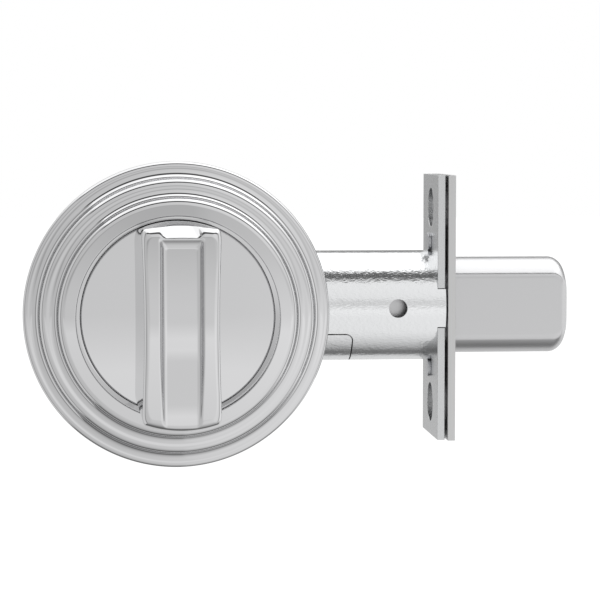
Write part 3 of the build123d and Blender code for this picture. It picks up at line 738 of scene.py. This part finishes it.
def make_tube():
    """Drawn tube, cut out for the cam's journals, the slot, the cover and the back plate's two notches."""
    inner = tube_radius - tube_wall
    profile = rounded(
        [
            (inner, tube_rear, 0.0),
            (tube_radius, tube_rear, TUMBLED_EDGE),
            (tube_radius, tab_end, TUMBLED_EDGE),
            (inner, tab_end, 0.0),
        ]
    )
    long_run = 20.0
    spread = np.linspace(0, 1, 60)[:-1, None]
    runs = []
    for index, point in enumerate(profile):
        run = profile[(index + 1) % len(profile)] - point
        divided = np.linalg.norm(run) > long_run
        runs.append(point + run * spread if divided else point[None, :])
    profile = np.concatenate(runs)
    piece = piece_of("zinc_tube", [(spun(profile, along_bolt, TUBE_STEPS), True)])
    reach = tube_radius + cutter_margin
    outline = rounded(
        [
            (cover_rear - cover_gap, cover_top + cover_gap, cover_corner),
            (cover_front + cover_gap, cover_top + cover_gap, cover_corner),
            (cover_front + cover_gap, -reach, 0.0),
            (cover_rear - cover_gap, -reach, 0.0),
        ]
    )

    def through(x, radius):
        """A bar along Y through the tube at x."""
        return rod(lambda a, b, h: np.stack([x + a, h, b], -1), radius, -reach, reach)

    tools = [
        through(0.0, journal_hole),
        through(face_front - side_hole_setback, side_hole),
        block((-slot_half_length, -slot_half_width, -reach), (slot_half_length, slot_half_width, 0)),
        prism(outline, reach),
        block((plate_rear, -reach, tab_half_height), (tab_end + overrun, reach, reach)),
        block((plate_rear, -reach, -reach), (tab_end + overrun, reach, -tab_half_height)),
    ]
    mount(cut(piece, tools), "root", "zinc_plate", "latch_tube")

    def inside(x, y, z):
        """The wall's inner face, its ends and the edges of its holes, painted near black as shade."""
        return np.hypot(y, z) < tube_radius - TUMBLED_EDGE - NEAR

    # The inside of the tube is painted near black: painted shade, so that the holes read dark
    lined(piece, tube_inside_painted_shade, inside)


def make_cover():
    """Cover in the tube's cut-out: what is left of a short length of tube inside the cover's outline."""
    inner = tube_radius - tube_wall
    reach = tube_radius + cutter_margin
    stations = 24
    along = np.linspace(cover_rear - overrun, cover_front + overrun, stations)
    outside = np.stack([np.full(stations, tube_radius), along], -1)
    inside = np.stack([np.full(stations, inner), along[::-1]], -1)
    profile = np.concatenate([outside, inside])
    piece = piece_of("zinc_cover", [(spun(profile, along_bolt, TUBE_STEPS), True)])
    outline = rounded(
        [
            (cover_rear, cover_top, cover_corner - cover_gap),
            (cover_front, cover_top, cover_corner - cover_gap),
            (cover_front, -reach, 0.0),
            (cover_rear, -reach, 0.0),
        ]
    )
    return mount(cut(piece, [prism(outline, reach)], keep=True), "root", "zinc_plate", "case_cover")


def make_bolt():
    """Bolt as sections along its axis: each is a circle cut by two flats, with the corner between them eased.

    The circle's radius follows the nose's quarter round, and the flats draw in along the tip's bevel.
    """
    turn = np.linspace(0, 2 * np.pi, BOLT_STEPS, endpoint=False)
    rear = bolt_tip - bolt_length
    nose_start = bolt_tip - bolt_nose
    shank = np.linspace(rear + 1, nose_start - 0.1, 40)
    nose = nose_start + bolt_nose * np.sin(np.linspace(0, np.pi / 2, 24))
    station = np.concatenate([[rear, rear + SUPPORT], shank, nose])
    past = np.clip(station - nose_start, 0, bolt_nose)
    radius = bolt_radius - bolt_nose + np.sqrt(bolt_nose**2 - past**2)
    half = bolt_half_width - np.maximum(station - (bolt_tip - bolt_bevel), 0)
    flat = half[:, None] / np.maximum(np.abs(np.cos(turn)), 1e-3)[None, :]
    farthest = 40
    reach = soft_least(np.minimum(flat, farthest), radius[:, None] + 0 * flat, bolt_corner)
    reach = np.concatenate([0 * reach[:1], reach, 0.5 * reach[-1:], 0 * reach[-1:]])
    station = np.concatenate([station[:1], station, station[-1:], station[-1:]])
    shell = np.stack([0 * reach + station[:, None], reach * np.cos(turn), reach * np.sin(turn)], -1)
    piece = piece_of("satin_bolt", [(shell, False)])
    return mount(piece, "bolt", "satin_bolt", "bolt")


def eased_copy(node, body, slot, ease=TUMBLED_EDGE):
    """A copy of a node with its flats made whole and its sharp edges eased."""
    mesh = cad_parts[node].data.copy()
    shape = bmesh.new()
    shape.from_mesh(mesh)
    bmesh.ops.remove_doubles(shape, verts=shape.verts, dist=MERGE_DISTANCE * MM)
    bmesh.ops.dissolve_limit(
        shape, angle_limit=FLAT_BELOW, verts=shape.verts, edges=shape.edges, delimit={"NORMAL"}
    )
    shape.to_mesh(mesh)
    shape.free()
    mesh.shade_smooth()
    mesh.set_sharp_from_angle(angle=SMOOTH_BELOW)
    piece = bpy.data.objects.new("eased_" + node, mesh)
    bpy.context.scene.collection.objects.link(piece)
    bevel = piece.modifiers.new("eased edges", "BEVEL")
    bevel.width = ease * MM
    bevel.segments = 2
    bevel.limit_method = "ANGLE"
    bevel.angle_limit = SMOOTH_BELOW
    bevel.harden_normals = True
    return mount(piece, body, slot, node)


# Pieces whose node's shape is right as it stands, but for its sharp edges
eased = {
    "root": {
        "zinc_plate": ("backplate", "mounting_plate"),
        "satin_steel": ("faceplate",),
        "screw_steel": ("upper_screw", "lower_screw", "plate_rivets"),
        "spring_steel": ("spring_washer", "detent_spring"),
        "hard_steel": ("rose_set_screw", "hardened_disc"),
        "cylinder_brass": ("cylinder_body",),
    },
    "turn": {
        "zinc_plate": ("tailpiece", "drive_cam"),
        "spring_steel": ("thumbturn_ring",),
        "hard_steel": ("tail_driver",),
    },
    "bolt": {
        "zinc_plate": ("bolt_tail",),
        "hard_steel": ("tail_rivet", "drive_pin", "hardened_roller"),
        "cylinder_brass": ("roller_plug",),
    },
    "plug": {
        "cylinder_brass": ("key_plug",),
        "spring_steel": ("plug_clip",),
        "hard_steel": ("plug_driver",),
    },
}
thin_pieces = ("spring_washer", "plug_clip")

make_rose()
make_collar()
make_thumbturn()
make_tube()
make_cover()
make_bolt()
for body, slots in eased.items():
    for slot, nodes in slots.items():
        for node in nodes:
            edge = THIN_EDGE if node in thin_pieces else TUMBLED_EDGE
            piece = eased_copy(node, body, slot, edge)
            if node == "backplate":
                piece.data.materials[0] = stamped_zinc


# Camera, fitted to the photograph

CAMERA_PLACE = Vector((-17.283, -518.204, 36.492)) * MM
CAMERA_TARGET = Vector((27.871, 0.0, 1.158)) * MM
CAMERA_FOCAL = 142.857


def make_camera():
    """Camera at the photograph's place, upright."""
    data = bpy.data.cameras.new("camera")
    data.sensor_width = 36.0
    data.lens = CAMERA_FOCAL
    data.clip_start = 0.01
    camera = bpy.data.objects.new("camera", data)
    bpy.context.scene.collection.objects.link(camera)
    camera.location = CAMERA_PLACE
    camera.rotation_euler = (CAMERA_TARGET - CAMERA_PLACE).to_track_quat("-Z", "Y").to_euler()
    bpy.context.scene.camera = camera


# Surroundings: brightness that polished metal sees, by an angle in degrees. 0 is the way to the room,
# 90 is straight up, -90 straight down, and 180 the way to the street
TENT_BANDS = (
    (-180, 0.52),
    (-175.6, 0.52),
    (-175.2, 0.7),
    (-160, 0.75),
    (-130, 0.72),
    (-123, 0.18),
    (-102, 0.18),
    (-90, 0.42),
    (-72, 0.72),
    (-50, 0.86),
    (-30, 0.88),
    (-18, 0.88),
    (-9, 1.0),
    (-4.8, 1.06),
    (-4.4, 0.89),
    (-2, 0.88),
    (2, 0.76),
    (6, 0.62),
    (10, 0.6),
    (16, 0.88),
    (55, 0.96),
    (59, 0.12),
    (77, 0.12),
    (81, 1.7),
    (148, 1.7),
    (156, 1.0),
    (174, 0.85),
    (176, 0.52),
    (180, 0.52),
)
# The same to the right of the lock, which the latch sees
TENT_RIGHT_BANDS = (
    (-180, 0.52),
    (-174, 0.6),
    (-160, 0.75),
    (-130, 0.74),
    (-123, 0.18),
    (-108, 0.18),
    (-98, 0.42),
    (-76, 0.72),
    (-56, 0.9),
    (-18, 0.92),
    (-9, 1.0),
    (-4.8, 1.02),
    (-4.4, 0.92),
    (-2, 0.88),
    (2, 0.76),
    (6, 0.7),
    (10, 0.7),
    (16, 0.9),
    (55, 0.96),
    (59, 0.12),
    (77, 0.12),
    (81, 1.7),
    (143, 1.7),
    (148, 0.3),
    (170, 0.3),
    (175, 0.52),
    (180, 0.52),
)
# Brightness at the sides, by how far the way points to the street, from -1 to 1
TENT_SIDES = (
    (-1.0, 0.84),
    (-0.3, 0.84),
    (-0.24, 0.45),
    (-0.06, 0.45),
    (0.0, 1.0),
    (0.6, 1.0),
    (1.0, 0.85),
)
# Where the right bands take over, and each side, as the share of the way that points right
RIGHT_BANDS_START = (0.06, 0.09)
LEFT_SIDE = (-0.6, -0.64)
RIGHT_SIDE = (0.64, 0.86)
# The light leans to the right: its strength at the ends of a span of that share
LEAN_SPAN = (-0.3, 0.3)
LEAN = (0.88, 1.12)
# The brightest that a ramp has to hold, which its levels are divided by
TENT_STRONGEST = 2.0
TENT_RADIUS = 10000.0


def band_ramp(tree, share, bands, low, high):
    """A ramp of brightness over a value that runs from low to high."""
    ramp = add_node(tree, "ShaderNodeValToRGB", {0: share})
    stops = ramp.color_ramp.elements
    for index, (value, level) in enumerate(bands):
        position = (value - low) / (high - low)
        stop = stops[index] if index < 2 else stops.new(position)
        stop.position = position
        stop.color = (level / TENT_STRONGEST,) * 3 + (1.0,)
    return ramp.outputs[0]


def make_tent():
    """Studio tent of light and dark cloth, far round the lock: a sphere that only shows in polished metal."""
    rows, columns = TENT_STEPS
    turn = np.linspace(0, np.pi, rows)
    profile = TENT_RADIUS * np.stack([np.sin(turn), -np.cos(turn)], -1)
    profile[[0, -1], 0] = 0

    def upright(across, along, height):
        """Points at a height along Z."""
        return np.stack([across, along, height], -1)

    tent = piece_of("tent", [(spun(profile, upright, columns), False)])
    material = bpy.data.materials.new("tent_cloth")
    material.use_nodes = True
    tree = material.node_tree
    tree.nodes.clear()
    place = add_node(tree, "ShaderNodeTexCoord").outputs["Object"]
    way = add_node(tree, "ShaderNodeVectorMath", {0: place}, operation="NORMALIZE")
    part = add_node(tree, "ShaderNodeSeparateXYZ", {0: way.outputs[0]})
    front = add_node(tree, "ShaderNodeMath", {0: part.outputs[1], 1: -1.0}, operation="MULTIPLY")
    angle = add_node(
        tree, "ShaderNodeMath", {0: part.outputs[2], 1: front.outputs[0]}, operation="ARCTAN2"
    )
    up_share = add_node(
        tree,
        "ShaderNodeMapRange",
        {"Value": angle.outputs[0], "From Min": -math.pi, "From Max": math.pi},
    )
    side_share = add_node(
        tree, "ShaderNodeMapRange", {"Value": part.outputs[1], "From Min": -1.0, "From Max": 1.0}
    )
    ends = [
        add_node(
            tree,
            "ShaderNodeMapRange",
            {"Value": part.outputs[0], "From Min": near, "From Max": far},
        )
        for near, far in (LEFT_SIDE, RIGHT_SIDE)
    ]
    side = add_node(
        tree, "ShaderNodeMath", {0: ends[0].outputs[0], 1: ends[1].outputs[0]}, operation="MAXIMUM"
    )
    right = add_node(
        tree,
        "ShaderNodeMapRange",
        {"Value": part.outputs[0], "From Min": RIGHT_BANDS_START[0], "From Max": RIGHT_BANDS_START[1]},
    )
    bands = add_node(
        tree,
        "ShaderNodeMix",
        {
            "Factor": right.outputs[0],
            6: band_ramp(tree, up_share.outputs[0], TENT_BANDS, -180, 180),
            7: band_ramp(tree, up_share.outputs[0], TENT_RIGHT_BANDS, -180, 180),
        },
        data_type="RGBA",
    )
    seen = add_node(
        tree,
        "ShaderNodeMix",
        {
            "Factor": side.outputs[0],
            6: bands.outputs[2],
            7: band_ramp(tree, side_share.outputs[0], TENT_SIDES, -1, 1),
        },
        data_type="RGBA",
    )
    leaning = add_node(
        tree,
        "ShaderNodeMapRange",
        {
            "Value": part.outputs[0],
            "From Min": LEAN_SPAN[0],
            "From Max": LEAN_SPAN[1],
            "To Min": LEAN[0] * TENT_STRONGEST,
            "To Max": LEAN[1] * TENT_STRONGEST,
        },
    )
    glow = add_node(
        tree, "ShaderNodeEmission", {"Color": seen.outputs[2], "Strength": leaning.outputs[0]}
    )
    add_node(tree, "ShaderNodeOutputMaterial", {"Surface": glow.outputs[0]})
    material.cycles.emission_sampling = "NONE"
    tent.data.materials.append(material)
    tent.visible_camera = False
    tent.visible_diffuse = False
    tent.visible_shadow = False


def make_world():
    """White all round, which lights the floor and is the backdrop."""
    world = bpy.data.worlds.new("studio")
    bpy.context.scene.world = world
    world.use_nodes = True
    tree = world.node_tree
    tree.nodes.clear()
    white = add_node(tree, "ShaderNodeBackground", {"Color": (1, 1, 1, 1), "Strength": 1.0})
    add_node(tree, "ShaderNodeOutputWorld", {"Surface": white.outputs[0]})


# Floor, in metres: how far it lies below the lock and how far it spreads. Its lift is light of its own
FLOOR_DROP = 0.05
FLOOR_SPREAD = 3.0
FLOOR_LIFT = 0.3


def make_floor():
    """Pale floor well below the lock. It is white where the camera sees it, and keeps a soft shadow."""
    level = cad_low.z - FLOOR_DROP
    mesh = bpy.data.meshes.new("floor")
    around = ((-1, -1), (1, -1), (1, 1), (-1, 1))
    corners = [(x * FLOOR_SPREAD, y * FLOOR_SPREAD, level) for x, y in around]
    mesh.from_pydata(corners, [], [(0, 1, 2, 3)])
    floor = bpy.data.objects.new("floor", mesh)
    bpy.context.scene.collection.objects.link(floor)
    material = bpy.data.materials.new("pale_floor")
    material.use_nodes = True
    tree = material.node_tree
    tree.nodes.clear()
    pale = add_node(tree, "ShaderNodeBsdfDiffuse", {"Color": colour("#e8e8e8")})
    rays = add_node(tree, "ShaderNodeLightPath")
    seen = add_node(
        tree,
        "ShaderNodeMath",
        {0: rays.outputs["Is Camera Ray"], 1: rays.outputs["Is Glossy Ray"]},
        operation="MAXIMUM",
    )
    seen = add_node(
        tree,
        "ShaderNodeMath",
        {0: seen.outputs[0], 1: rays.outputs["Is Transmission Ray"]},
        operation="MAXIMUM",
    )
    lift = add_node(
        tree, "ShaderNodeMath", {0: seen.outputs[0], 1: FLOOR_LIFT}, operation="MULTIPLY"
    )
    glow = add_node(tree, "ShaderNodeEmission", {"Color": (1, 1, 1, 1), "Strength": lift.outputs[0]})
    shown = add_node(tree, "ShaderNodeAddShader", {0: pale.outputs[0], 1: glow.outputs[0]})
    add_node(tree, "ShaderNodeOutputMaterial", {"Surface": shown.outputs[0]})
    mesh.materials.append(material)
    floor.visible_glossy = False


make_camera()
make_world()
make_tent()
make_floor()
bpy.context.scene.view_settings.view_transform = "Standard"
